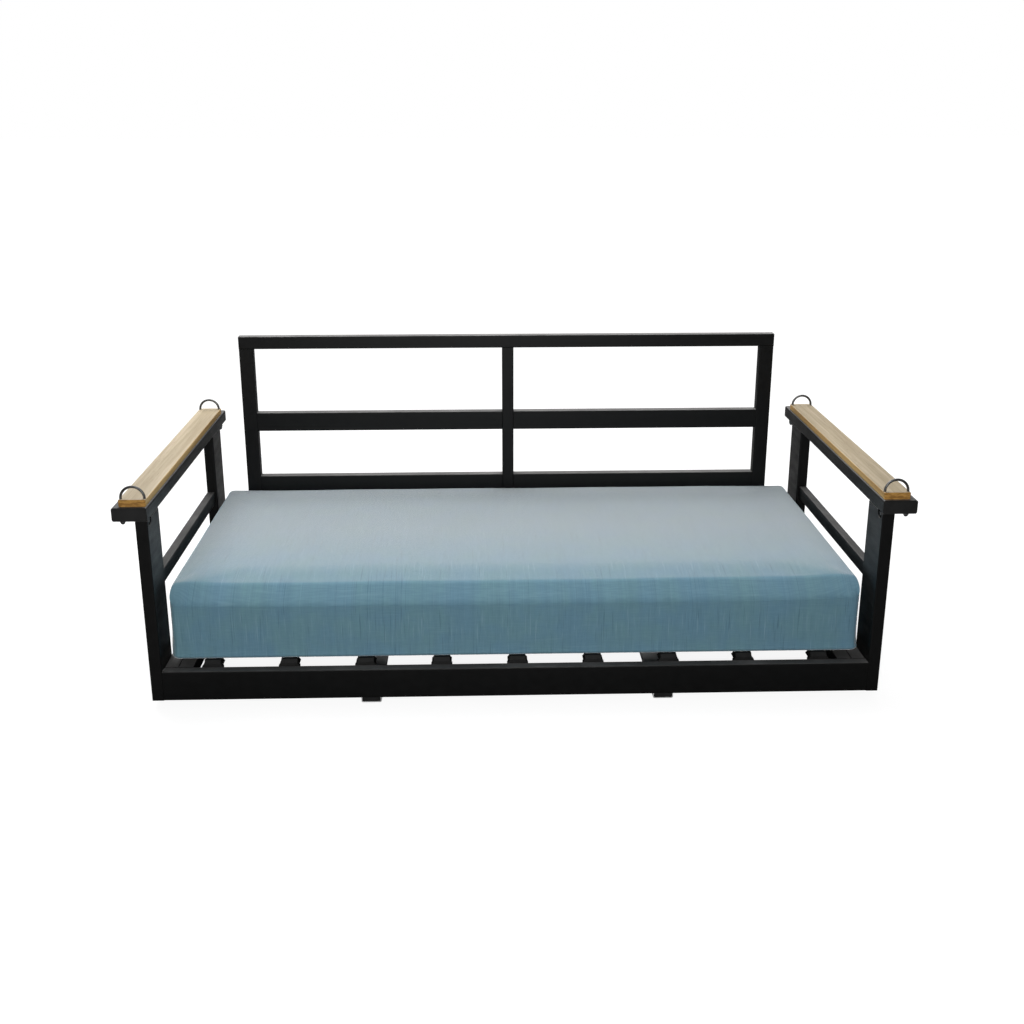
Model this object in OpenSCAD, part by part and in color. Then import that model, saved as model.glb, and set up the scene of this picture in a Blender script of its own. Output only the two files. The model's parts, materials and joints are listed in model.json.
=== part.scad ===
// Daybed porch swing.
//
// A knock-down seat frame of welded rectangular tube, two side panels with
// flat arms and wooden arm boards, a bolt-on open back, sprung slats in
// moulded holders and one thick loose mattress. Four U-bolts through the arms
// are the hanging eyes.
//
// X is the width, Y runs from the front to the back and Z is up.
// The origin is on the floor, in the middle of the swing's outline.

/* [Seat frame] */
// Width over the outer faces of the posts
frame_w = 2000; // [1600:10:2200]
// Depth of the seat frame, from the front of the front posts to the back of the back posts
seat_d = 988; // [900:1:1100]
// Height of the front and back rails
rail_h = 85; // [70:1:95]
// Depth of the front and back rails, front to back
rail_d = 31; // [25:1:36]
// Width of the side rails of the seat
seat_rail_w = 38; // [30:1:45]
// Width of the stiffening cleat along each side rail
cleat_w = 41; // [30:1:50]
// Height of that cleat
cleat_h = 40; // [30:1:45]
// Wall of every rectangular tube
wall = 2.5; // [2:0.5:3]

/* [Cross beams] */
// Distance from the middle of the swing to the middle of each beam
beam_x = 404; // [300:1:500]
// Width of a beam
beam_w = 56; // [50:1:70]
// Height of a beam, which is also the height of the frame above the floor
beam_h = 21; // [18:1:30]
// How far the ends of a beam stay back from the seat's outline
beam_inset = 15; // [5:1:40]

/* [Slats] */
// Number of slats
slat_count = 9; // [7:2:11]
// Distance from slat to slat
slat_pitch = 209; // [150:0.5:215]
// Width of a slat
slat_w = 38; // [34:1:50]
// Thickness of a slat
slat_t = 9; // [6:1:10]
// How far the middle of a slat bows up above its ends
slat_bow = 3.2; // [0:0.1:6]

/* [Side panels] */
// Width of a post, left to right
post_w = 33; // [30:1:40]
// Depth of a post, front to back
post_d = 122; // [100:1:130]
// Height of a post
post_h = 516; // [450:1:600]
// Height of the upper side rail
upper_rail_h = 40; // [30:1:50]
// Thickness of the upper side rail
upper_rail_w = 25; // [18:1:30]
// Height of the lower edge of the upper side rail above the foot of the post
upper_rail_z = 290; // [200:1:320]

/* [Arms] */
// Length of an arm
arm_l = 1096; // [1060:1:1200]
// Width of an arm
arm_w = 92; // [85:1:100]
// Height of an arm tube
arm_h = 37; // [30:1:45]
// Width of the wooden arm board
board_w = 72; // [72:1:80]
// Length of the arm board
board_l = 1030; // [1020:1:1040]
// Thickness of the arm board
board_t = 19; // [15:1:25]
// How far the arm board starts behind the front of the arm
board_front = 12.5; // [5:0.5:14]

/* [Hanging eyes] */
// Diameter of the U-bolt wire
eye_wire = 7; // [5:0.1:7.5]
// Distance between the legs of a U-bolt, middle to middle
eye_span = 62; // [58:1:62]
// How far the front U-bolts stand behind the front of the arm
eye_front = 24; // [22:1:30]
// How far the back U-bolts stand behind the front of the arm
eye_back = 1029; // [1000:1:1032]
// Height of a U-bolt above the arm board
eye_rise = 35.5; // [34:0.5:38]

/* [Back] */
// Width of the back frame
back_w = 1774; // [1500:2:1800]
// Height of the back frame above the foot of the posts
back_h = 824; // [750:1:900]
// Depth of the tubes of the back frame
back_d = 35; // [30:1:40]
// Width of the outer stiles
stile_w = 46; // [40:1:60]
// Width of the middle stile
middle_stile_w = 38; // [30:1:50]
// Height of the top rail
top_rail_h = 41; // [35:1:50]
// Height of the middle and lower rails
back_rail_h = 62; // [50:1:70]
// Height of the lower edge of the middle rails above the foot of the posts
middle_rail_z = 505; // [450:1:560]
// Height of the lower edge of the lower rails above the foot of the posts
lower_rail_z = 285; // [200:1:330]

/* [Mattress] */
// Width of the mattress
mattress_w = 1896; // [1500:1:1904]
// Depth of the mattress
mattress_d = 940; // [800:1:945]
// Thickness of the mattress
mattress_t = 205; // [120:1:220]
// How far the mattress starts behind the front of the seat
mattress_front = 34; // [32:1:40]

/* [Hidden] */

sides = [-1, 1];
black = [0.09, 0.09, 0.1];
steel = [0.3, 0.31, 0.33];
zinc = [0.55, 0.56, 0.57];
plastic = [0.05, 0.05, 0.05];
teak = [0.78, 0.66, 0.48];
blue_cloth = [0.45, 0.56, 0.62];
foam = [0.92, 0.88, 0.72];

// Heights are given above the foot of the posts, and depths behind the front of the arms.
half_w = frame_w / 2;
inner_x = half_w - post_w;
back_post_y = seat_d - post_d;
back_rail_y = seat_d - rail_d;
seat_rail_x = inner_x - seat_rail_w;
cleat_x = seat_rail_x - cleat_w;
arm_x = inner_x + arm_w / 2;
arm_top = post_h + arm_h;
board_top = arm_top + board_t;
eye_x = inner_x + 39;
slat_reach = 10;
slat_end_z = 90.6;
slat_l = back_rail_y - rail_d - 2 * slat_reach;

tube_r = 3;
arm_r = 5;
beam_r = 5;
cap_t = 3;
cap_play = 0.1;
hole_play = 0.3;
m8_r = 4;
m6_r = 3;
m6_head_r = 5.25;
post_bolt_z = 20;
front_post_bolt_y = [56, 100];
back_post_bolt_y = [back_post_y + 22, back_post_y + 66];
back_bolt_z = [19, 46];
beam_bolt_inset = beam_inset + cap_t + m6_head_r + 0.35;
beam_bolt_y = [beam_bolt_inset, seat_d - beam_bolt_inset];
screw_r = 2.2;
holder_w = slat_w + 20;
holder_l = 40;
holder_leg = 12;
holder_z = [60, 102.6];
holder_screw_z = 71;
board_screw_y = [200, 526, 850];
board_r = 3;
washer_t = 1.6;
back_bolt_x = [-back_w / 2 + stile_w / 2, 0, back_w / 2 - stile_w / 2];

// Moves a part from the seat's own heights and depths to the floor and the middle.
module placed() {
    translate([0, -arm_l / 2, beam_h])
        children();
}

module along_x() {
    rotate([90, 0, 90])
        children();
}

module along_y() {
    rotate([90, 0, 180])
        children();
}

module rounded(w, h, r) {
    square([w - 2 * r, h], center = true);
    square([w, h - 2 * r], center = true);
    for (x = sides, y = sides)
        translate([x * (w / 2 - r), y * (h / 2 - r)])
            circle(r = r, $fn = 32);
}

// A rectangular tube that stands on the origin and runs up Z.
module tube(w, h, l, r = tube_r) {
    linear_extrude(l)
        difference() {
            rounded(w, h, r);
            rounded(w - 2 * wall, h - 2 * wall, r - wall + 0.5);
        }
}

module rod(r, l) {
    cylinder(r = r, h = l, $fn = 32);
}

// A moulded plug that closes the end of a tube, flush with it, with a short skirt inside.
// A mouth is a gap of that width through the top and the bottom of the skirt.
module plug(w, h, r = tube_r, mouth = 0) {
    inner_w = w - 2 * wall - 2 * cap_play;
    inner_h = h - 2 * wall - 2 * cap_play;
    inner_r = r - wall + 0.4;
    linear_extrude(cap_t)
        rounded(inner_w, inner_h, inner_r);
    linear_extrude(12)
        difference() {
            rounded(inner_w, inner_h, inner_r);
            rounded(inner_w - 4, inner_h - 4, 0.5);
            if (mouth > 0)
                square([mouth, h], center = true);
        }
}

// A button-head bolt: its shank runs down -Z from the origin and its head stands above.
module button_bolt(r, l, head_r, head_h) {
    difference() {
        rotate_extrude($fn = 48)
            intersection() {
                translate([0, head_h - head_r * 1.35])
                    circle(r = head_r * 1.35, $fn = 96);
                square([head_r, head_h]);
            }
        translate([0, 0, head_h * 0.35])
            cylinder(r = r * 0.72, h = head_h, $fn = 6);
    }
    translate([0, 0, -l])
        rod(r, l + 0.01);
}

// A domed nut whose flat face is at the origin and whose dome points down -Z.
module domed_nut(r, across, h) {
    flat_h = h * 0.5;
    difference() {
        union() {
            translate([0, 0, -flat_h])
                cylinder(r = across / 2 / cos(30), h = flat_h, $fn = 6);
            translate([0, 0, -flat_h])
                rotate([180, 0, 0])
                    rotate_extrude($fn = 48)
                        intersection() {
                            circle(r = across / 2 * 0.94, $fn = 64);
                            square([across, h - flat_h]);
                        }
        }
        translate([0, 0, -h * 0.75])
            rod(r + 0.05, h);
    }
}

module hex_nut(r, across, h) {
    difference() {
        cylinder(r = across / 2 / cos(30), h = h, $fn = 6);
        translate([0, 0, -1])
            rod(r + 0.05, h + 2);
    }
}

// Seat frame

// The holes for the cross beams' bolts in the bottom wall of a rail.
module rail_bolt_holes() {
    for (x = sides, y = beam_bolt_y)
        translate([x * beam_x, y, -1])
            rod(m6_r + hole_play, wall + 2);
}

module cross_rail(y) {
    difference() {
        translate([-inner_x, y + rail_d / 2, rail_h / 2])
            along_x()
                tube(rail_d, rail_h, 2 * inner_x);
        rail_bolt_holes();
    }
}

module front_rail() {
    color(black)
        placed()
            difference() {
                cross_rail(0);
                holder_screw_holes(rail_d - wall - 1);
            }
}

module back_rail() {
    color(black)
        placed()
            difference() {
                cross_rail(back_rail_y);
                holder_screw_holes(back_rail_y - 1);
                for (x = back_bolt_x, z = back_bolt_z)
                    translate([x, back_rail_y - 1, z])
                        along_y()
                            rod(m8_r + hole_play, rail_d + 2);
            }
}

module holder_screw_holes(y) {
    for (i = [1 : slat_count])
        translate([slat_x(i), y, holder_screw_z])
            along_y()
                rod(screw_r + 0.1, wall + 2);
}

module side_bolt_holes(x, l) {
    for (y = concat(front_post_bolt_y, back_post_bolt_y))
        translate([x, y, post_bolt_z])
            along_x()
                rod(m8_r + hole_play, l);
}

module seat_rail(s) {
    color(black)
        placed()
            difference() {
                translate([s * (seat_rail_x + seat_rail_w / 2), rail_d, rail_h / 2])
                    along_y()
                        tube(seat_rail_w, rail_h, back_rail_y - rail_d);
                side_bolt_holes(s * (seat_rail_x + seat_rail_w / 2) - seat_rail_w, 2 * seat_rail_w);
            }
}

module side_cleat(s) {
    color(black)
        placed()
            translate([s * (cleat_x + cleat_w / 2), rail_d, rail_h - cleat_h / 2])
                along_y()
                    tube(cleat_w, cleat_h, back_rail_y - rail_d);
}

// Cross beams under the frame

module cross_beam(s) {
    color(zinc)
        placed()
            difference() {
                translate([s * beam_x, beam_inset, -beam_h / 2])
                    along_y()
                        tube(beam_w, beam_h, seat_d - 2 * beam_inset, beam_r);
                for (y = beam_bolt_y)
                    translate([s * beam_x, y, -wall - 1])
                        rod(m6_r + hole_play, wall + 2);
                for (y = beam_bolt_y)
                    translate([s * beam_x, y, -beam_h - 1])
                        rod(m6_head_r + 1.25, wall + 2);
            }
}

module cross_beam_caps() {
    bolt_gap = 24;
    color(plastic)
        placed()
            for (s = sides) {
                translate([s * beam_x, beam_inset, -beam_h / 2])
                    along_y()
                        plug(beam_w, beam_h, beam_r, bolt_gap);
                translate([s * beam_x, seat_d - beam_inset, -beam_h / 2])
                    rotate([90, 0, 0])
                        plug(beam_w, beam_h, beam_r, bolt_gap);
            }
}

module cross_beam_bolts() {
    color(steel)
        placed()
            for (s = sides, y = beam_bolt_y)
                translate([s * beam_x, y, -wall])
                    rotate([180, 0, 0])
                        button_bolt(m6_r, 22, m6_head_r, 3.3);
}

// Blind rivet nuts in the bottom walls of the front and back rails, which take the beams' bolts.
module cross_beam_rivet_nuts() {
    color(steel)
        placed()
            for (s = sides, y = beam_bolt_y)
                translate([s * beam_x, y, wall])
                    difference() {
                        rod(m6_r + 1.1, 12);
                        translate([0, 0, -1])
                            rod(m6_r + 0.05, 14);
                    }
}

// Slats and their holders

function slat_x(i) = (i - (slat_count + 1) / 2) * slat_pitch;

function bow(t) = slat_bow * (1 - t * t);

module slat(i) {
    steps = 12;
    start = rail_d + slat_reach;
    lower = [for (k = [-steps : steps]) [k / steps * slat_l / 2, bow(k / steps)]];
    upper = [for (k = [-steps : steps]) [-k / steps * slat_l / 2, bow(k / steps) + slat_t]];
    color(black)
        placed()
            translate([slat_x(i) - slat_w / 2, start + slat_l / 2, slat_end_z])
                along_x()
                    linear_extrude(slat_w)
                        polygon(concat(lower, upper));
}

// The outline of a holder from the front: a broad foot that curves in to the slat's width.
module holder_outline() {
    foot = rail_h - holder_z[0];
    top = holder_z[1] - holder_z[0];
    neck = slat_w + 6;
    flare = (holder_w - neck) / 2;
    curve_r = flare * 1.6;
    difference() {
        translate([-holder_w / 2, 0])
            square([holder_w, top]);
        for (s = sides)
            translate([s * (neck / 2 + curve_r), foot + curve_r])
                circle(r = curve_r, $fn = 48);
        for (s = sides)
            translate([s * (neck / 2 + flare) - flare, foot + curve_r])
                square([2 * flare, top]);
    }
}

// One holder behind the front rail, whose mouth takes the end of a slat.
module slat_holder() {
    slot_y = rail_d + slat_reach - hole_play;
    difference() {
        translate([0, rail_d, holder_z[0]])
            along_y()
                linear_extrude(holder_l)
                    holder_outline();
        translate([-holder_w, rail_d + holder_leg, holder_z[0] - 1])
            cube([2 * holder_w, holder_l, slat_end_z - holder_z[0] - 3]);
        translate([-slat_w / 2 - hole_play, slot_y, slat_end_z - hole_play])
            cube([slat_w + 2 * hole_play, holder_l, slat_t + 0.4 + 2 * hole_play]);
        translate([-holder_w, rail_d, holder_z[1] - 9])
            rotate([50, 0, 0])
                cube([2 * holder_w, 20, 20]);
        translate([0, rail_d - 1, holder_screw_z])
            along_y()
                rod(screw_r + 0.1, holder_leg + 2);
    }
}

module front_slat_holders() {
    color(plastic)
        placed()
            for (i = [1 : slat_count])
                translate([slat_x(i), 0, 0])
                    slat_holder();
}

module back_slat_holders() {
    color(plastic)
        placed()
            for (i = [1 : slat_count])
                translate([slat_x(i), back_rail_y + rail_d, 0])
                    rotate([0, 0, 180])
                        slat_holder();
}

module slat_holder_screws() {
    color(steel)
        placed()
            for (i = [1 : slat_count]) {
                translate([slat_x(i), rail_d + holder_leg, holder_screw_z])
                    rotate([-90, 0, 0])
                        button_bolt(screw_r, holder_leg + wall + 4, 4.2, 2.6);
                translate([slat_x(i), back_rail_y - holder_leg, holder_screw_z])
                    rotate([90, 0, 0])
                        button_bolt(screw_r, holder_leg + wall + 4, 4.2, 2.6);
            }
}

// Side panels

module post_tube(s, y) {
    translate([s * (inner_x + post_w / 2), y + post_d / 2, 0])
        tube(post_w, post_d, post_h);
}

// The front posts have a half-round notch at the top for the inner nut of the hanging eye.
module front_post(s) {
    notch_r = 18;
    color(black)
        placed()
            difference() {
                post_tube(s, 0);
                translate([s * inner_x - wall - 0.5, eye_front, post_h])
                    along_x()
                        rod(notch_r, 2 * wall + 1);
                side_bolt_holes(s * inner_x - wall - 1, 2 * wall + 2);
            }
}

module back_post(s) {
    color(black)
        placed()
            difference() {
                post_tube(s, back_post_y);
                side_bolt_holes(s * inner_x - wall - 1, 2 * wall + 2);
            }
}

module post_foot_caps() {
    color(plastic)
        placed()
            for (s = sides, y = [post_d / 2, back_post_y + post_d / 2])
                translate([s * (inner_x + post_w / 2), y, 0])
                    plug(post_w, post_d);
}

module upper_side_rail(s) {
    color(black)
        placed()
            translate([s * (half_w - upper_rail_w / 2), post_d, upper_rail_z + upper_rail_h / 2])
                along_y()
                    tube(upper_rail_w, upper_rail_h, back_post_y - post_d);
}

module side_panel_bolts() {
    color(steel)
        placed()
            for (s = sides, y = concat(front_post_bolt_y, back_post_bolt_y))
                translate([s * seat_rail_x, y, post_bolt_z])
                    rotate([0, -s * 90, 0])
                        button_bolt(m8_r, seat_rail_w + wall + 9, 7, 4.4);
}

module side_panel_nuts() {
    color(steel)
        placed()
            for (s = sides, y = concat(front_post_bolt_y, back_post_bolt_y))
                translate([s * (inner_x + wall), y, post_bolt_z])
                    rotate([0, s * 90, 0])
                        hex_nut(m8_r, 13, 6.5);
}

// Arms

module eye_holes(s, z, l) {
    for (y = [eye_front, eye_back], leg = sides)
        translate([s * eye_x + leg * eye_span / 2, y, z])
            rod(eye_wire / 2 + 0.2, l);
}

module arm(s) {
    color(black)
        placed()
            difference() {
                translate([s * arm_x, cap_t, post_h + arm_h / 2])
                    along_y()
                        tube(arm_w, arm_h, arm_l - 2 * cap_t, arm_r);
                eye_holes(s, post_h - 1, arm_h + 2);
                for (y = board_screw_y)
                    translate([s * eye_x, y, post_h - 1])
                        rod(6, wall + 2);
                for (y = board_screw_y)
                    translate([s * eye_x, y, arm_top - wall - 1])
                        rod(screw_r + 0.1, wall + 2);
            }
}

// A cap covers the end of an arm, with an eased outer edge and a skirt inside the tube.
module arm_cap() {
    ease = 1.5;
    inner_w = arm_w - 2 * wall - 2 * cap_play;
    inner_h = arm_h - 2 * wall - 2 * cap_play;
    linear_extrude(ease)
        rounded(arm_w - 2 * ease, arm_h - 2 * ease, arm_r - ease);
    translate([0, 0, ease])
        linear_extrude(cap_t - ease)
            rounded(arm_w, arm_h, arm_r);
    translate([0, 0, cap_t])
        linear_extrude(10)
            difference() {
                rounded(inner_w, inner_h, arm_r - wall + 0.4);
                rounded(inner_w - 4, inner_h - 4, 0.5);
            }
}

module arm_end_caps() {
    color(plastic)
        placed()
            for (s = sides) {
                translate([s * arm_x, 0, post_h + arm_h / 2])
                    along_y()
                        arm_cap();
                translate([s * arm_x, arm_l, post_h + arm_h / 2])
                    rotate([90, 0, 0])
                        arm_cap();
            }
}

// A board with eased edges all round, which runs back from the origin.
module board_blank() {
    intersection() {
        along_y()
            linear_extrude(board_l)
                rounded(board_w, board_t, board_r);
        translate([0, board_l / 2, -board_t / 2])
            linear_extrude(board_t)
                rounded(board_w, board_l, board_r);
    }
}

module arm_board(s) {
    color(teak)
        placed()
            difference() {
                translate([s * eye_x, board_front, arm_top + board_t / 2])
                    board_blank();
                eye_holes(s, arm_top - 1, board_t + 2);
                for (y = board_screw_y)
                    translate([s * eye_x, y, arm_top - 1])
                        rod(screw_r + 0.1, 14);
            }
}

module arm_board_screws() {
    color(steel)
        placed()
            for (s = sides, y = board_screw_y)
                translate([s * eye_x, y, arm_top - wall])
                    rotate([180, 0, 0])
                        button_bolt(screw_r, wall + 12, 4.5, 2.6);
}

// Hanging eyes

module eye_bolt(s, y) {
    centre_z = board_top + eye_rise - eye_span / 2 - eye_wire / 2;
    leg_bottom = post_h - 11;
    color(steel)
        placed()
            translate([s * eye_x, y, centre_z]) {
                rotate([90, 0, 0])
                    rotate_extrude(angle = 180, $fn = 96)
                        translate([eye_span / 2, 0])
                            circle(d = eye_wire, $fn = 32);
                for (leg = sides)
                    translate([leg * eye_span / 2, 0, leg_bottom - centre_z])
                        rod(eye_wire / 2, centre_z - leg_bottom);
            }
}

module each_eye_leg() {
    for (s = sides, y = [eye_front, eye_back], leg = sides)
        translate([s * eye_x + leg * eye_span / 2, y, post_h])
            children();
}

module eye_bolt_washers() {
    color(steel)
        placed()
            each_eye_leg()
                translate([0, 0, -washer_t])
                    difference() {
                        rod(eye_wire / 2 + 5, washer_t);
                        translate([0, 0, -1])
                            rod(eye_wire / 2 + 0.2, 4);
                    }
}

module eye_bolt_nuts() {
    color(steel)
        placed()
            each_eye_leg()
                translate([0, 0, -washer_t])
                    rotate([0, 0, 30])
                        domed_nut(eye_wire / 2, 13, 14);
}

// Back frame

module back_top_rail() {
    color(black)
        placed()
            translate([-back_w / 2, seat_d + back_d / 2, back_h - top_rail_h / 2])
                along_x()
                    tube(back_d, top_rail_h, back_w);
}

module back_stile(x, w) {
    color(black)
        placed()
            difference() {
                translate([x, seat_d + back_d / 2, 0])
                    tube(w, back_d, back_h - top_rail_h);
                for (z = back_bolt_z)
                    translate([x, seat_d - 1, z])
                        along_y()
                            rod(m8_r + hole_play, back_d + 2);
            }
}

module half_back_rail(s, z) {
    inner = middle_stile_w / 2;
    l = back_w / 2 - stile_w - inner;
    color(black)
        placed()
            translate([s > 0 ? inner : -inner - l, seat_d + back_d / 2, z + back_rail_h / 2])
                along_x()
                    tube(back_d, back_rail_h, l);
}

module back_frame_caps() {
    color(plastic)
        placed() {
            for (i = [0 : 2])
                translate([back_bolt_x[i], seat_d + back_d / 2, 0])
                    plug(i == 1 ? middle_stile_w : stile_w, back_d);
            for (s = sides)
                translate([s * back_w / 2, seat_d + back_d / 2, back_h - top_rail_h / 2])
                    rotate([0, 0, s > 0 ? 180 : 0])
                        along_x()
                            plug(back_d, top_rail_h);
        }
}

module back_frame_bolts() {
    color(steel)
        placed()
            for (x = back_bolt_x, z = back_bolt_z)
                translate([x, seat_d + back_d, z])
                    rotate([-90, 0, 0])
                        button_bolt(m8_r, back_d + rail_d + 9, 7, 4.4);
}

module back_frame_nuts() {
    color(steel)
        placed()
            for (x = back_bolt_x, z = back_bolt_z)
                translate([x, back_rail_y, z])
                    rotate([-90, 0, 0])
                        domed_nut(m8_r, 13, 15);
}

// Mattress

mattress_z = rail_h + 18.4;
cover_t = 3;

// A block with rounded upright edges that grows by the given amount on every side.
module mattress_block(grow) {
    translate([0, mattress_front + mattress_d / 2, mattress_z + cover_t - grow])
        linear_extrude(mattress_t - 2 * cover_t + 2 * grow)
            rounded(mattress_w - 2 * cover_t + 2 * grow, mattress_d - 2 * cover_t + 2 * grow, 30 + grow);
}

module mattress_core() {
    color(foam)
        placed()
            mattress_block(-0.5);
}

module mattress_cover() {
    color(blue_cloth)
        placed()
            difference() {
                mattress_block(cover_t);
                mattress_block(0);
            }
}

front_rail();
back_rail();
seat_rail(-1);  // left_seat_rail
seat_rail(1);  // right_seat_rail
side_cleat(-1);  // left_side_cleat
side_cleat(1);  // right_side_cleat
cross_beam(-1);  // left_cross_beam
cross_beam(1);  // right_cross_beam
cross_beam_caps();
cross_beam_bolts();
cross_beam_rivet_nuts();
for (i = [1 : slat_count])
    slat(i);
front_slat_holders();
back_slat_holders();
slat_holder_screws();
front_post(-1);  // front_left_post
front_post(1);  // front_right_post
back_post(-1);  // back_left_post
back_post(1);  // back_right_post
post_foot_caps();
upper_side_rail(-1);  // left_upper_side_rail
upper_side_rail(1);  // right_upper_side_rail
side_panel_bolts();
side_panel_nuts();
arm(-1);  // left_arm
arm(1);  // right_arm
arm_end_caps();
arm_board(-1);  // left_arm_board
arm_board(1);  // right_arm_board
arm_board_screws();
eye_bolt(-1, eye_front);  // front_left_eye_bolt
eye_bolt(1, eye_front);  // front_right_eye_bolt
eye_bolt(-1, eye_back);  // back_left_eye_bolt
eye_bolt(1, eye_back);  // back_right_eye_bolt
eye_bolt_washers();
eye_bolt_nuts();
back_top_rail();
back_stile(back_bolt_x[0], stile_w);  // left_back_stile
back_stile(back_bolt_x[2], stile_w);  // right_back_stile
back_stile(0, middle_stile_w);  // middle_back_stile
half_back_rail(-1, middle_rail_z);  // left_back_middle_rail
half_back_rail(1, middle_rail_z);  // right_back_middle_rail
half_back_rail(-1, lower_rail_z);  // left_back_lower_rail
half_back_rail(1, lower_rail_z);  // right_back_lower_rail
back_frame_caps();
back_frame_bolts();
back_frame_nuts();
mattress_core();
mattress_cover();
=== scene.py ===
"""The looks of the daybed porch swing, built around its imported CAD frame."""

import json
import math

import bpy
import numpy as np
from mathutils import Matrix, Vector


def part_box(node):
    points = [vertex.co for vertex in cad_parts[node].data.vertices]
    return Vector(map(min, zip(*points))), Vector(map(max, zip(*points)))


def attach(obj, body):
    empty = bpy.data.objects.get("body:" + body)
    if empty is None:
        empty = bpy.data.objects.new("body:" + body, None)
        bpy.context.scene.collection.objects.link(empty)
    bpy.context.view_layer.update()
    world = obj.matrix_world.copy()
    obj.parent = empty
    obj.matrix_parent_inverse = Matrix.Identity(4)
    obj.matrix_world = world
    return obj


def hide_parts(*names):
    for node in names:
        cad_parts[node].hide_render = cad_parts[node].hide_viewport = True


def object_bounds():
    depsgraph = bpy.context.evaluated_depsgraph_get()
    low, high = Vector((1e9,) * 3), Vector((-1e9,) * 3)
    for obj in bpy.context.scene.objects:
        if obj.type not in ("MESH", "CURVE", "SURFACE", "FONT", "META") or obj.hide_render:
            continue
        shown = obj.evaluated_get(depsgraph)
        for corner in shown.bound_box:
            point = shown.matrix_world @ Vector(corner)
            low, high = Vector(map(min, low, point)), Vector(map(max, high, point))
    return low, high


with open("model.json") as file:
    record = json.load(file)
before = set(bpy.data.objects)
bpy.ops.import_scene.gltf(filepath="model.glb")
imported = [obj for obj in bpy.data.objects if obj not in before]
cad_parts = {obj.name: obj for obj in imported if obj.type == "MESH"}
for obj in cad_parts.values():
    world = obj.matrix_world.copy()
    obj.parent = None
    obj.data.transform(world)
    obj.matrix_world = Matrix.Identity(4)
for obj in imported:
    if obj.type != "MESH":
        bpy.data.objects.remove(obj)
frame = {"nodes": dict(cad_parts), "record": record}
cad_lo, cad_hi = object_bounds()
NODES = frame["nodes"]

MATTRESS_BODY = "mattress"

# Where the swing is seen from: sideways, ahead of its front, and up, then how the view is turned
CAMERA_SIDE = -0.110
CAMERA_AHEAD = 3.107
CAMERA_HEIGHT = 1.568
CAMERA_YAW = math.radians(1.740)
CAMERA_PITCH = math.radians(18.072)
CAMERA_ROLL = 0.0006
CAMERA_LENS = 43.82

# How bright the floor looks near the swing, and how much light the room gives ahead of and behind it
FLOOR_GLOW = 0.90
ROOM_FRONT = 0.07
ROOM_BACK = 0.36


# ---------------------------------------------------------------- material helpers


class Shader:
    """A node material with one Principled shader."""

    def __init__(self, name, **sockets):
        self.material = bpy.data.materials.new(name)
        self.material.use_nodes = True
        self.tree = self.material.node_tree
        self.tree.nodes.clear()
        self.out = self.tree.nodes.new("ShaderNodeOutputMaterial")
        self.bsdf = self.add("ShaderNodeBsdfPrincipled")
        self.tree.links.new(self.bsdf.outputs[0], self.out.inputs["Surface"])
        self.place = self.add("ShaderNodeTexCoord")
        for key, value in sockets.items():
            self.bsdf.inputs[key.replace("_", " ")].default_value = value

    def add(self, kind, settings=None, **inputs):
        """A node of a kind, with its sockets fed by name, or by place as i0, i1 and so on."""
        made = self.tree.nodes.new(kind)
        for key, value in (settings or {}).items():
            setattr(made, key, value)
        for key, value in inputs.items():
            by_place = key[0] == "i" and key[1:].isdigit()
            self.feed(made.inputs[int(key[1:]) if by_place else key], value)
        return made

    def feed(self, socket, value):
        if isinstance(value, bpy.types.Node):
            value = value.outputs[0]
        if isinstance(value, bpy.types.NodeSocket):
            self.tree.links.new(value, socket)
        else:
            socket.default_value = value

    def math(self, operation, a, b=0.0):
        return self.add("ShaderNodeMath", {"operation": operation}, i0=a, i1=b)

    def spread(self, value, low, high, to_low=0.0, to_high=1.0):
        """value's range low to high, stretched smoothly to another range."""
        return self.add(
            "ShaderNodeMapRange",
            {"interpolation_type": "SMOOTHSTEP"},
            i0=value, i1=low, i2=high, i3=to_low, i4=to_high,
        )

    def scaled(self, vector, x, y, z, shift=0.0):
        return self.add(
            "ShaderNodeMapping", None,
            Vector=vector, Scale=(x, y, z), Location=(shift, shift * 0.7, shift * 0.3),
        )

    def noise(self, vector, scale, detail=3.0, rough=0.55):
        return self.add(
            "ShaderNodeTexNoise", {"noise_dimensions": "3D"},
            Vector=vector, Scale=scale, Detail=detail, Roughness=rough,
        )

    def mix(self, factor, a, b):
        made = self.tree.nodes.new("ShaderNodeMix")
        made.data_type = "RGBA"
        self.feed(made.inputs["Factor"], factor)
        self.feed(made.inputs["A"], a)
        self.feed(made.inputs["B"], b)
        return made.outputs["Result"]

    def bump(self, height, distance, strength=1.0, under=None):
        made = self.add("ShaderNodeBump", None, Strength=strength, Distance=distance, Height=height)
        if under is not None:
            self.feed(made.inputs["Normal"], under)
        return made

    def normal_axes(self):
        """How far the surface faces along X, Y and up Z."""
        parts = self.add("ShaderNodeSeparateXYZ", None, i0=self.place.outputs["Normal"])
        return (
            self.math("ABSOLUTE", parts.outputs["X"]),
            self.math("ABSOLUTE", parts.outputs["Y"]),
            parts.outputs["Z"],
        )


def grey(v):
    return (v, v, v, 1.0)


def rgb(r, g, b):
    return (r, g, b, 1.0)


# ---------------------------------------------------------------- materials


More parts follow.
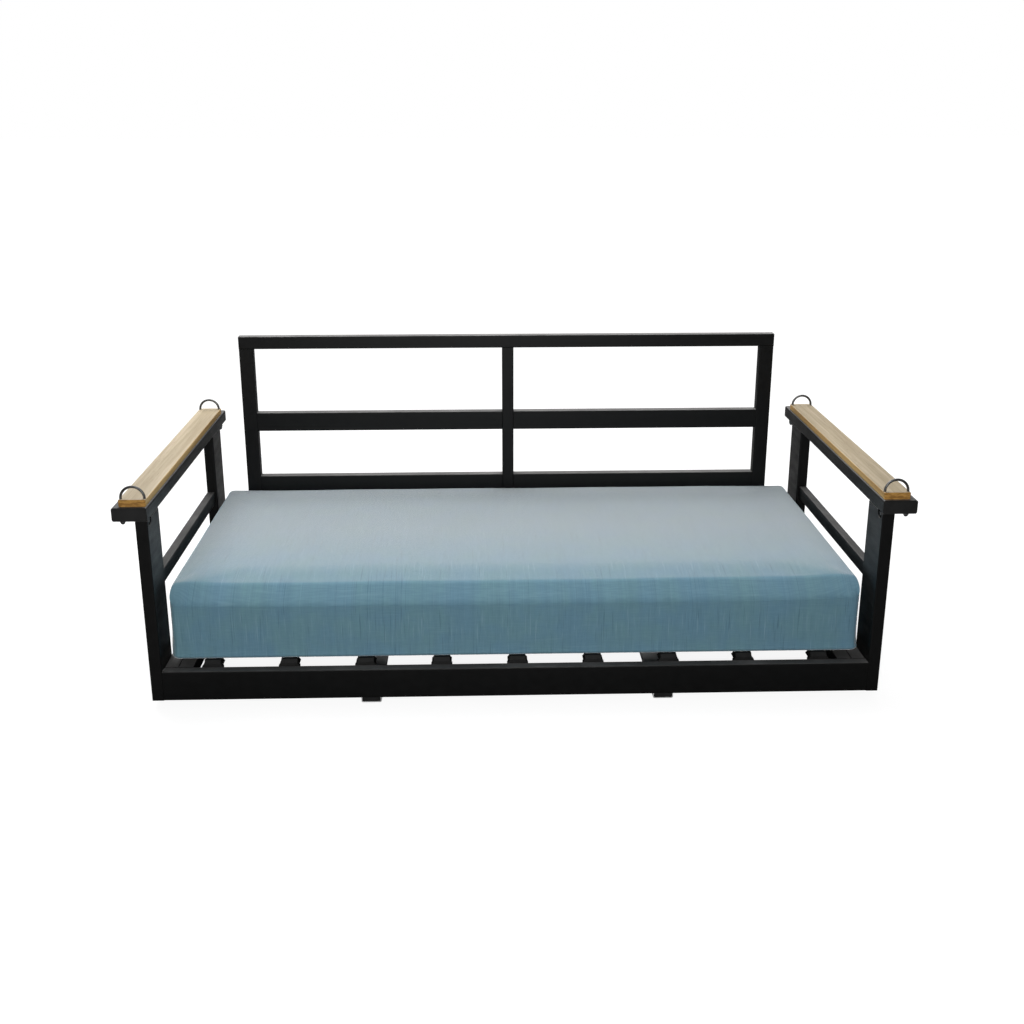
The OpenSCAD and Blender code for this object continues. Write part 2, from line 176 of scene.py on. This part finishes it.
def powder_coat():
    """Satin black powder coat: fine orange peel, and a paler tone on what faces up that is partly dust
    and partly painted top light.
    """
    s = Shader("powder_coat", IOR=1.45)
    s.bsdf.inputs["Specular IOR Level"].default_value = 0.28
    here = s.place.outputs["Object"]
    _, _, up = s.normal_axes()
    patches = s.noise(here, 7.0, 4.0)
    # Up-facing faces are painted paler: partly dust, partly painted light falling on the tops.
    dust_and_painted_top_light = s.math("MULTIPLY", s.spread(up, 0.6, 0.95), s.spread(patches, 0.35, 0.75, 0.55, 1.0))
    specks = s.spread(s.noise(here, 420.0, 2.0), 0.66, 0.74)
    tone = s.mix(dust_and_painted_top_light, grey(0.0035), rgb(0.155, 0.152, 0.149))
    tone = s.mix(s.math("MULTIPLY", s.math("MULTIPLY", specks, dust_and_painted_top_light), 0.35), tone, grey(0.06))
    s.feed(s.bsdf.inputs["Base Color"], tone)
    wear = s.noise(s.scaled(here, 40.0, 9.0, 40.0), 1.0, 4.0)
    rough = s.spread(wear, 0.3, 0.7, 0.36, 0.47)
    s.feed(s.bsdf.inputs["Roughness"], s.math("ADD", rough, s.math("MULTIPLY", dust_and_painted_top_light, 0.12)))
    peel = s.noise(here, 850.0, 2.0)
    s.feed(s.bsdf.inputs["Normal"], s.bump(peel, 0.00025, 0.35))
    return s.material


def teak():
    """Oiled teak, paler where it faces up from bleaching and a painted reflection of the light above,
    honey on its edges and darker on end grain.
    """
    s = Shader("teak", IOR=1.45)
    here = s.place.outputs["Object"]
    _, along_y, up = s.normal_axes()
    warp = s.noise(s.scaled(here, 9.0, 1.2, 9.0), 1.0, 3.0)
    bend = s.add("ShaderNodeVectorMath", {"operation": "SCALE"}, i0=warp.outputs["Color"], Scale=0.012)
    bent = s.add("ShaderNodeVectorMath", {"operation": "ADD"}, i0=here)
    s.feed(bent.inputs[1], bend)
    figure = s.noise(s.scaled(bent, 130.0, 3.2, 130.0), 1.0, 5.0, 0.6)
    rings = s.noise(s.scaled(bent, 46.0, 1.1, 46.0, 3.1), 1.0, 3.0, 0.5)
    pores = s.noise(s.scaled(here, 900.0, 16.0, 900.0), 1.0, 2.0, 0.5)
    band = s.spread(rings, 0.36, 0.66)
    fine = s.spread(figure, 0.34, 0.68)
    grain = s.math("ADD", s.math("MULTIPLY", band, 0.62), s.math("MULTIPLY", fine, 0.38))
    honey = s.mix(grain, rgb(0.34, 0.19, 0.055), rgb(0.60, 0.40, 0.15))
    # The paler up-facing tone is partly sun-bleaching and partly a painted reflection of the light
    # above.
    bleached_and_reflected_tone = s.mix(grain, rgb(0.36, 0.285, 0.175), rgb(0.54, 0.445, 0.30))
    up_facing_reflection = s.spread(up, 0.55, 0.98)
    tone = s.mix(up_facing_reflection, honey, bleached_and_reflected_tone)
    arcs = s.noise(s.scaled(here, 60.0, 3.0, 260.0), 1.0, 3.0)
    end_tone = s.mix(s.spread(arcs, 0.38, 0.64), rgb(0.34, 0.16, 0.030), rgb(0.62, 0.33, 0.075))
    tone = s.mix(s.spread(along_y, 0.6, 0.9), tone, end_tone)
    pits = s.spread(pores, 0.60, 0.72)
    tone = s.mix(s.math("MULTIPLY", pits, 0.42), tone, rgb(0.12, 0.06, 0.025))
    s.feed(s.bsdf.inputs["Base Color"], tone)
    s.feed(s.bsdf.inputs["Roughness"], s.spread(grain, 0.0, 1.0, 0.62, 0.50))
    relief = s.math("SUBTRACT", s.math("MULTIPLY", grain, 0.5), pits)
    s.feed(s.bsdf.inputs["Normal"], s.bump(relief, 0.00030, 0.5))
    return s.material


def slat_ply():
    """Bent plywood slats, stained black so that a trace of grain shows."""
    s = Shader("black_stained_ply")
    here = s.place.outputs["Object"]
    grain = s.noise(s.scaled(here, 260.0, 5.0, 260.0), 1.0, 4.0)
    plies = s.add("ShaderNodeTexWave", {"wave_type": "BANDS", "bands_direction": "Z"},
                  Vector=here, Scale=110.0, Distortion=0.4)
    tone = s.mix(s.spread(grain, 0.35, 0.7), grey(0.006), rgb(0.019, 0.017, 0.016))
    along_x, _, _ = s.normal_axes()
    edge = s.math("MULTIPLY", s.spread(along_x, 0.7, 0.95), plies.outputs["Fac"])
    tone = s.mix(s.math("MULTIPLY", edge, 0.4), tone, rgb(0.035, 0.030, 0.026))
    s.feed(s.bsdf.inputs["Base Color"], tone)
    s.feed(s.bsdf.inputs["Roughness"], s.spread(grain, 0.3, 0.7, 0.42, 0.55))
    s.feed(s.bsdf.inputs["Normal"], s.bump(grain, 0.0002, 0.3))
    return s.material


def moulded_plastic():
    """Black moulded plastic with a fine spark-eroded texture."""
    s = Shader("moulded_plastic", IOR=1.46)
    here = s.place.outputs["Object"]
    leather = s.noise(here, 1300.0, 2.0)
    cloud = s.noise(here, 30.0, 3.0)
    s.feed(s.bsdf.inputs["Base Color"], s.mix(s.spread(cloud, 0.3, 0.7), grey(0.004), grey(0.009)))
    s.feed(s.bsdf.inputs["Roughness"], s.spread(cloud, 0.3, 0.7, 0.48, 0.60))
    s.feed(s.bsdf.inputs["Normal"], s.bump(leather, 0.0002, 0.4))
    return s.material


def metal(name, dark, light, rough_low, rough_high, streaks):
    """A plated or brushed metal: streaks is how much it is drawn out along Z."""
    s = Shader(name, Metallic=1.0)
    here = s.place.outputs["Object"]
    cloud = s.noise(here, 90.0, 4.0)
    lines = s.noise(s.scaled(here, 1500.0, 1500.0, 1500.0 / streaks), 1.0, 2.0)
    s.feed(s.bsdf.inputs["Base Color"], s.mix(s.spread(cloud, 0.3, 0.7), grey(dark), grey(light)))
    s.feed(s.bsdf.inputs["Roughness"], s.spread(lines, 0.3, 0.7, rough_low, rough_high))
    s.feed(s.bsdf.inputs["Normal"], s.bump(lines, 0.0001, 0.3))
    return s.material


def galvanised():
    """Dull zinc-coated steel: faint spangle, and a cloudy grey patina."""
    s = Shader("galvanised", Metallic=0.0)
    here = s.place.outputs["Object"]
    spangle = s.add("ShaderNodeTexVoronoi", None, Vector=here, Scale=110.0)
    cloud = s.noise(here, 24.0, 4.0)
    tone = s.mix(s.spread(cloud, 0.3, 0.7), grey(0.66), grey(0.78))
    tone = s.mix(s.math("MULTIPLY", spangle.outputs["Color"], 0.25), tone, grey(0.86))
    s.feed(s.bsdf.inputs["Base Color"], tone)
    s.feed(s.bsdf.inputs["Roughness"], s.spread(cloud, 0.3, 0.7, 0.50, 0.62))
    s.feed(s.bsdf.inputs["Normal"], s.bump(cloud, 0.0002, 0.3))
    return s.material


THREAD_PITCH = 0.0017


def slub_cloth():
    """Blue-grey outdoor cloth: a plain weave with thick and thin slub yarns that run down the front."""
    s = Shader("slub_cloth", Sheen_Weight=1.0, Sheen_Roughness=0.35, IOR=1.4)
    s.bsdf.inputs["Sheen Tint"].default_value = rgb(1.0, 0.99, 0.98)
    s.bsdf.inputs["Specular IOR Level"].default_value = 0.3
    here = s.add("ShaderNodeSeparateXYZ", None, i0=s.place.outputs["Object"])
    along_x, _, up = s.normal_axes()
    on_end = s.math("GREATER_THAN", along_x, 0.72)
    x, y, z = (here.outputs[k] for k in "XYZ")
    # u runs across the warp and v along it, over the front, the top and the back without a break
    off_end = s.math("SUBTRACT", 1.0, on_end)
    u = s.math("ADD", s.math("MULTIPLY", x, off_end), s.math("MULTIPLY", y, on_end))
    v = s.math("SUBTRACT", z, s.math("MULTIPLY", y, off_end))
    cloth = s.add("ShaderNodeCombineXYZ", None, X=u, Y=v)

    def yarns(across, along, shift, detail=2.0):
        return s.noise(s.scaled(cloth, across, along, 1.0, shift), 1.0, detail, 0.5)

    light_slubs = s.spread(yarns(330.0, 9.0, 0.0), 0.60, 0.74)
    dark_slubs = s.spread(yarns(300.0, 8.0, 41.0), 0.60, 0.74)
    weft_slubs = s.spread(yarns(7.0, 330.0, 17.0), 0.58, 0.76)
    fine_warp = yarns(1100.0, 26.0, 5.0, 1.0)
    fine_weft = yarns(26.0, 1100.0, 9.0, 1.0)
    broad = s.noise(s.scaled(cloth, 60.0, 3.0, 1.0, 7.0), 1.0, 2.0)
    hue = s.noise(cloth, 9.0, 3.0)
    tone = s.mix(s.spread(hue, 0.35, 0.65), rgb(0.159, 0.317, 0.428), rgb(0.174, 0.338, 0.392))
    tone = s.mix(s.spread(broad, 0.35, 0.7, 0.0, 0.35), tone, rgb(0.131, 0.255, 0.336))
    tone = s.mix(s.spread(fine_warp, 0.35, 0.65, 0.0, 0.30), tone, rgb(0.230, 0.398, 0.497))
    tone = s.mix(s.spread(fine_weft, 0.35, 0.65, 0.0, 0.25), tone, rgb(0.105, 0.223, 0.310))
    tone = s.mix(s.math("MULTIPLY", light_slubs, 0.55), tone, rgb(0.310, 0.491, 0.584))
    tone = s.mix(s.math("MULTIPLY", dark_slubs, 0.55), tone, rgb(0.075, 0.167, 0.230))
    tone = s.mix(s.math("MULTIPLY", weft_slubs, 0.22), tone, rgb(0.261, 0.428, 0.522))
    # The top is painted paler and greyer than the sides, and more so away from its front edge: a
    # painted sheen of the light falling on it from above and behind.
    sheen_toward_back = s.spread(y, cad_lo.y - 0.05, cad_lo.y + 0.60, 0.10, 0.5)
    painted_top_sheen = s.math("MULTIPLY", s.spread(up, 0.94, 0.998), sheen_toward_back)
    tone = s.mix(painted_top_sheen, tone, rgb(0.44, 0.43, 0.425))
    s.feed(s.bsdf.inputs["Base Color"], tone)
    s.feed(s.bsdf.inputs["Roughness"], s.spread(hue, 0.3, 0.7, 0.84, 0.92))
    threads = 2.0 * math.pi / THREAD_PITCH
    warp_thread = s.math("SINE", s.math("MULTIPLY", u, threads))
    weft_thread = s.math("SINE", s.math("MULTIPLY", v, threads))
    weave = s.math("MULTIPLY", warp_thread, weft_thread)
    slubs = s.math("ADD", light_slubs, s.math("MULTIPLY", dark_slubs, 0.8))
    fine = s.bump(weave, 0.00018, 0.5)
    s.feed(s.bsdf.inputs["Normal"], s.bump(slubs, 0.0005, 0.5, under=fine))
    return s.material


MATERIALS = {
    "frame_paint": powder_coat(),
    "arm_teak": teak(),
    "slat_wood": slat_ply(),
    "black_plastic": moulded_plastic(),
    "eye_steel": metal("dark_eye_steel", 0.10, 0.16, 0.34, 0.48, 8.0),
    "beam_zinc": galvanised(),
    "bolt_steel": metal("plated_bolt_steel", 0.42, 0.52, 0.26, 0.38, 4.0),
    "mattress_cloth": slub_cloth(),
}


def paint_frame():
    """Each CAD node takes the material of its slot in the record."""
    for row in frame["record"]["subparts"]:
        found = MATERIALS.get(row["material_slot"])
        if found is None:
            continue
        node = NODES[row["node"]]
        node.data.materials.clear()
        node.data.materials.append(found)


# ---------------------------------------------------------------- mattress

# The front edge: how far back it starts, how far it drops, and how much of the drop is a straight slope
EDGE_FRONT = 0.060
EDGE_DROP = 0.042
EDGE_KINK = 0.78
# How far the other edges are rounded
EDGE_TOP = 0.009
EDGE_BOTTOM = 0.010
EDGE_UPRIGHT = 0.024
# Where its seams run: back from the front on top, and down and up from the edges of the other sides
SEAM_FRONT = 0.060
SEAM_TOP = 0.013
SEAM_BOTTOM = 0.008
SEAM_HALF = 0.0035
SEAM_DEPTH = 0.0015

CELL = 0.015
# How far the blank stays inside the CAD mattress, and how far the cloth may swell out of it
SWELL_ROOM = 0.004
SIDE_ROOM = -0.001
SWELL_CAP = 0.005
SWELL_STEPS = 20
# The top: how far its rim stands up, how far it crowns, and how far it falls near the front
RIM_LIFT = 0.003
CROWN = 0.002
FRONT_SLOPE = 0.009
SLOPE_END = 0.02
SLOPE_START = 0.17
# The waves over the foam, on top and on the front and back
TOP_WAVE = 0.0007
FACE_WAVE = 0.0006


def smooth(value, low, high):
    t = np.clip((value - low) / (high - low), 0.0, 1.0)
    return t * t * (3.0 - 2.0 * t)


def grid_line(low, high, near, far, seam_low=None, seam_high=None):
    """Places from low to high: closer together near both ends, with three close lines at each seam."""
    a = low + near * (1 - np.cos(np.linspace(0, math.pi / 2, 7)))
    c = high - far * (1 - np.cos(np.linspace(math.pi / 2, 0, 7)))
    n = max(2, round((c[0] - a[-1]) / CELL))
    b = np.linspace(a[-1], c[0], n + 1)[1:-1]
    line = np.concatenate([a, b, c])
    for seam in (seam_low, seam_high):
        if seam is None:
            continue
        keep = (np.abs(line - seam) > SEAM_HALF * 1.4) | (line == low) | (line == high)
        line = np.sort(np.append(line[keep], seam + np.array([-1.0, 0.0, 1.0]) * SEAM_HALF))
    return line


def round_drop(inwards, radius):
    """How far a quarter-round edge lies below its face, at a distance in from the edge."""
    t = np.clip(1.0 - inwards / radius, 0.0, 1.0)
    return radius * (1.0 - np.sqrt(1.0 - t * t))


def front_drop(inwards):
    """How far the front edge lies below the top: it leaves a seam with a kink and ends upright."""
    t = np.clip(1.0 - inwards / EDGE_FRONT, 0.0, 1.0)
    return EDGE_DROP * (EDGE_KINK * t + (1.0 - EDGE_KINK) * (1.0 - np.sqrt(1.0 - t * t)))


def box_grid(axes):
    """The points and quads of a closed box whose faces are cut along the places in axes."""
    n = [len(a) for a in axes]
    index, points, faces = {}, [], []

    def vertex(key):
        if key not in index:
            index[key] = len(points)
            points.append([axes[d][key[d]] for d in range(3)])
        return index[key]

    for d in range(3):
        e, f = (d + 1) % 3, (d + 2) % 3
        for end in (0, n[d] - 1):
            for p in range(n[e] - 1):
                for q in range(n[f] - 1):
                    ring = []
                    for dp, dq in ((0, 0), (1, 0), (1, 1), (0, 1)):
                        key = [0, 0, 0]
                        key[d], key[e], key[f] = end, p + dp, q + dq
                        ring.append(vertex(tuple(key)))
                    faces.append(ring if end else ring[::-1])
    return np.array(points), faces


def seam_mark(value, seam):
    """1 on the middle line of a seam and 0 on the lines beside it."""
    return np.clip(1.0 - np.abs(value - seam) / SEAM_HALF, 0.0, 1.0)


def soft_block(lo, hi):
    """The mattress's blank: a sloped front edge, crisper sides and back, and a slightly crowned top."""
    axes = [
        grid_line(lo[0], hi[0], EDGE_UPRIGHT, EDGE_UPRIGHT),
        grid_line(lo[1], hi[1], EDGE_FRONT, EDGE_UPRIGHT, lo[1] + SEAM_FRONT),
        grid_line(lo[2], hi[2], EDGE_BOTTOM, EDGE_TOP, lo[2] + SEAM_BOTTOM, hi[2] - SEAM_TOP),
    ]
    co, faces = box_grid(axes)
    x, y, z = co[:, 0], co[:, 1], co[:, 2]
    across = np.minimum(x - lo[0], hi[0] - x)
    front, back = y - lo[1], hi[1] - y
    middle, half = (lo + hi) / 2, (hi - lo) / 2
    side_x = np.abs((x - middle[0]) / half[0])
    side_y = np.abs((y - middle[1]) / half[1])

    top_drop = (
        front_drop(front) ** 3 + round_drop(across, EDGE_TOP) ** 3 + round_drop(back, EDGE_TOP) ** 3
    ) ** (1 / 3)
    bottom_lift = (
        round_drop(np.minimum(front, back), EDGE_BOTTOM) ** 3 + round_drop(across, EDGE_BOTTOM) ** 3
    ) ** (1 / 3)
    slope = FRONT_SLOPE * (1.0 - smooth(front, SLOPE_END, SLOPE_START)) * (1.0 - side_x**8)
    crown = CROWN * (1.0 - side_x**6) * (1.0 - side_y**6)
    height = (z - lo[2]) / (hi[2] - lo[2])
    top_z = hi[2] + RIM_LIFT - top_drop - slope + crown
    bottom_z = lo[2] + bottom_lift
    new_z = bottom_z + (top_z - bottom_z) * height
    new_z -= SEAM_DEPTH * seam_mark(y, lo[1] + SEAM_FRONT) * (height == 1.0)

    corner = np.clip(co[:, :2], lo[:2] + EDGE_UPRIGHT, hi[:2] - EDGE_UPRIGHT)
    out = co[:, :2] - corner
    square = np.max(np.abs(out), axis=1)
    length = np.maximum(np.linalg.norm(out, axis=1), 1e-9)
    plan = corner + out * (square / length)[:, None]
    facing = out / length[:, None]
    on_side = (square > EDGE_UPRIGHT - 1e-6) & (height > 0.0) & (height < 1.0)
    off_front = 1.0 - smooth(-facing[:, 1], 0.3, 0.8)
    seam = seam_mark(z, lo[2] + SEAM_BOTTOM) + seam_mark(z, hi[2] - SEAM_TOP) * off_front
    plan -= facing * (SEAM_DEPTH * seam * on_side)[:, None]
    return np.column_stack([plan, new_z]), faces


def mesh_object(name, points, faces):
    mesh = bpy.data.meshes.new(name)
    mesh.from_pydata([tuple(p) for p in points], [], faces)
    mesh.validate()
    mesh.polygons.foreach_set("use_smooth", [True] * len(mesh.polygons))
    made = bpy.data.objects.new(name, mesh)
    bpy.context.scene.collection.objects.link(made)
    return made


def read_points(mesh):
    co = np.zeros(len(mesh.vertices) * 3)
    mesh.vertices.foreach_get("co", co)
    return co.reshape(-1, 3)


def swell(piece, pinned):
    """Blows the cover out from its foam with a short cloth simulation, and caps how far it goes."""
    group = piece.vertex_groups.new(name="pinned")
    group.add([int(i) for i in np.flatnonzero(pinned)], 1.0, "REPLACE")
    cloth = piece.modifiers.new("cloth", "CLOTH")
    cloth.settings.quality = 4
    cloth.settings.mass = 0.35
    cloth.settings.tension_stiffness = 25.0
    cloth.settings.compression_stiffness = 25.0
    cloth.settings.shear_stiffness = 12.0
    cloth.settings.bending_stiffness = 4.0
    cloth.settings.use_pressure = True
    cloth.settings.uniform_pressure_force = 4.0
    cloth.settings.vertex_group_mass = group.name
    cloth.settings.effector_weights.gravity = 0.0
    cloth.collision_settings.use_collision = False
    cloth.collision_settings.use_self_collision = False
    scene = bpy.context.scene
    rest = read_points(piece.data)
    for step in range(1, SWELL_STEPS + 1):
        scene.frame_set(step)
    seen = piece.evaluated_get(bpy.context.evaluated_depsgraph_get())
    moved = read_points(seen.data)
    piece.modifiers.remove(cloth)
    piece.vertex_groups.remove(group)
    scene.frame_set(1)
    shift = moved - rest
    size = np.maximum(np.linalg.norm(shift, axis=1, keepdims=True), 1e-9)
    shift *= SWELL_CAP * np.tanh(size / SWELL_CAP) / size
    piece.data.vertices.foreach_set("co", (rest + shift).ravel())
    piece.data.update()


def make_mattress():
    lo, hi = (np.array(c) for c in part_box("mattress_cover"))
    block_lo = lo + np.array([SIDE_ROOM, SWELL_ROOM, 0.0])
    block_hi = hi - np.array([SIDE_ROOM, SWELL_ROOM, SWELL_ROOM])
    points, faces = soft_block(block_lo, block_hi)
    piece = mesh_object("mattress_cushion", points, faces)
    swell(piece, points[:, 2] < lo[2] + EDGE_BOTTOM * 1.02)
    settle(piece, lo)
    subdivide(piece)
    piece.data.materials.append(MATERIALS["mattress_cloth"])
    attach(piece, MATTRESS_BODY)
    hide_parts("mattress_cover", "mattress_core")


def settle(piece, lo):
    """Slow, shallow waves over the foam, and a flat underside that never dips below the slats."""
    co = read_points(piece.data)
    wave = (
        np.sin(co[:, 0] * 7.3 + 0.6) * np.sin(co[:, 1] * 9.1 + 1.9)
        + 0.6 * np.sin(co[:, 0] * 15.7 + 2.2 + 3.0 * co[:, 1])
        + 0.5 * np.sin(co[:, 0] * 3.1 - co[:, 1] * 13.0)
    )
    height = np.clip((co[:, 2] - lo[2]) / 0.2, 0, 1)
    co[:, 2] += TOP_WAVE * wave * height**2
    co[:, 1] += FACE_WAVE * np.sin(co[:, 0] * 11.0 + co[:, 2] * 16.0) * np.sin(height * math.pi)
    co[:, 2] = np.maximum(co[:, 2], lo[2])
    piece.data.vertices.foreach_set("co", co.ravel())
    piece.data.update()


def subdivide(piece):
    """One applied subdivision, so the kept mesh is the smooth one."""
    modifier = piece.modifiers.new("smooth", "SUBSURF")
    modifier.levels = modifier.render_levels = 1
    seen = piece.evaluated_get(bpy.context.evaluated_depsgraph_get())
    smooth_mesh = bpy.data.meshes.new_from_object(seen)
    piece.modifiers.remove(modifier)
    piece.data = smooth_mesh


# ---------------------------------------------------------------- stage, light and camera


def make_stage():
    """A pale floor that looks almost white, with only a faint shadow, and throws little light back."""
    mesh = bpy.data.meshes.new("floor")
    reach = 60.0
    corners = [(-reach, -reach, 0), (reach, -reach, 0), (reach, reach, 0), (-reach, reach, 0)]
    mesh.from_pydata(corners, [], [(0, 1, 2, 3)])
    floor = bpy.data.objects.new("floor", mesh)
    bpy.context.scene.collection.objects.link(floor)
    s = Shader("pale_floor", Roughness=0.9)
    s.bsdf.inputs["Specular IOR Level"].default_value = 0.0
    path = s.add("ShaderNodeLightPath")
    s.feed(s.bsdf.inputs["Base Color"], s.mix(path.outputs["Is Camera Ray"], grey(0.22), grey(0.25)))
    reach_out = s.add("ShaderNodeVectorMath", {"operation": "LENGTH"}, i0=s.place.outputs["Object"])
    glow = s.spread(reach_out.outputs["Value"], 1.5, 6.0, FLOOR_GLOW, 1.0)
    s.bsdf.inputs["Emission Color"].default_value = grey(1.0)
    s.feed(s.bsdf.inputs["Emission Strength"], s.math("MULTIPLY", glow, path.outputs["Is Camera Ray"]))
    mesh.materials.append(s.material)


def soft_box(name, place, aim, width, depth, power):
    data = bpy.data.lights.new(name, "AREA")
    data.shape = "RECTANGLE"
    data.size, data.size_y = width, depth
    data.energy = power
    lamp = bpy.data.objects.new(name, data)
    bpy.context.scene.collection.objects.link(lamp)
    lamp.location = place
    lamp.rotation_euler = (Vector(aim) - Vector(place)).to_track_quat("-Z", "Y").to_euler()


def make_light():
    """A white surround that gives more light from behind than from ahead, and three soft boxes."""
    world = bpy.data.worlds.new("studio")
    bpy.context.scene.world = world
    world.use_nodes = True
    tree = world.node_tree
    tree.nodes.clear()
    out = tree.nodes.new("ShaderNodeOutputWorld")
    seen = tree.nodes.new("ShaderNodeBackground")
    seen.inputs["Color"].default_value = grey(1.0)
    seen.inputs["Strength"].default_value = 1.0
    given = tree.nodes.new("ShaderNodeBackground")
    towards = tree.nodes.new("ShaderNodeTexCoord")
    parts = tree.nodes.new("ShaderNodeSeparateXYZ")
    tree.links.new(towards.outputs["Generated"], parts.inputs[0])
    lift = tree.nodes.new("ShaderNodeMapRange")
    lift.interpolation_type = "SMOOTHSTEP"
    for key, value in zip((1, 2, 3, 4), (-0.7, 0.8, ROOM_FRONT, ROOM_BACK)):
        lift.inputs[key].default_value = value
    tree.links.new(parts.outputs["Y"], lift.inputs[0])
    tree.links.new(lift.outputs[0], given.inputs["Strength"])
    given.inputs["Color"].default_value = grey(1.0)
    path = tree.nodes.new("ShaderNodeLightPath")
    pick = tree.nodes.new("ShaderNodeMixShader")
    tree.links.new(path.outputs["Is Camera Ray"], pick.inputs[0])
    tree.links.new(given.outputs[0], pick.inputs[1])
    tree.links.new(seen.outputs[0], pick.inputs[2])
    tree.links.new(pick.outputs[0], out.inputs["Surface"])
    soft_box("overhead", (-0.4, 1.35, 2.7), (0.0, 0.2, 0.3), 4.0, 1.8, 92.0)
    soft_box("front", (-0.2, -3.9, 1.40), (0.0, -0.4, 0.15), 1.8, 0.5, 60.0)
    soft_box("behind", (-0.5, 3.4, 3.4), (0.0, 0.0, 0.3), 5.0, 2.0, 75.0)


def make_camera():
    """The view of the swing from ahead and above, a little to its left."""
    data = bpy.data.cameras.new("camera")
    data.sensor_width = 36.0
    data.lens = CAMERA_LENS
    data.clip_end = 200.0
    camera = bpy.data.objects.new("camera", data)
    bpy.context.scene.collection.objects.link(camera)
    camera.location = (CAMERA_SIDE, cad_lo.y - CAMERA_AHEAD, CAMERA_HEIGHT)
    camera.rotation_euler = (math.pi / 2 - CAMERA_PITCH, CAMERA_ROLL, -CAMERA_YAW)
    bpy.context.scene.camera = camera
    bpy.context.scene.view_settings.view_transform = "Standard"


make_camera()
make_stage()
make_light()
paint_frame()
make_mattress()

bpy.context.view_layer.update()
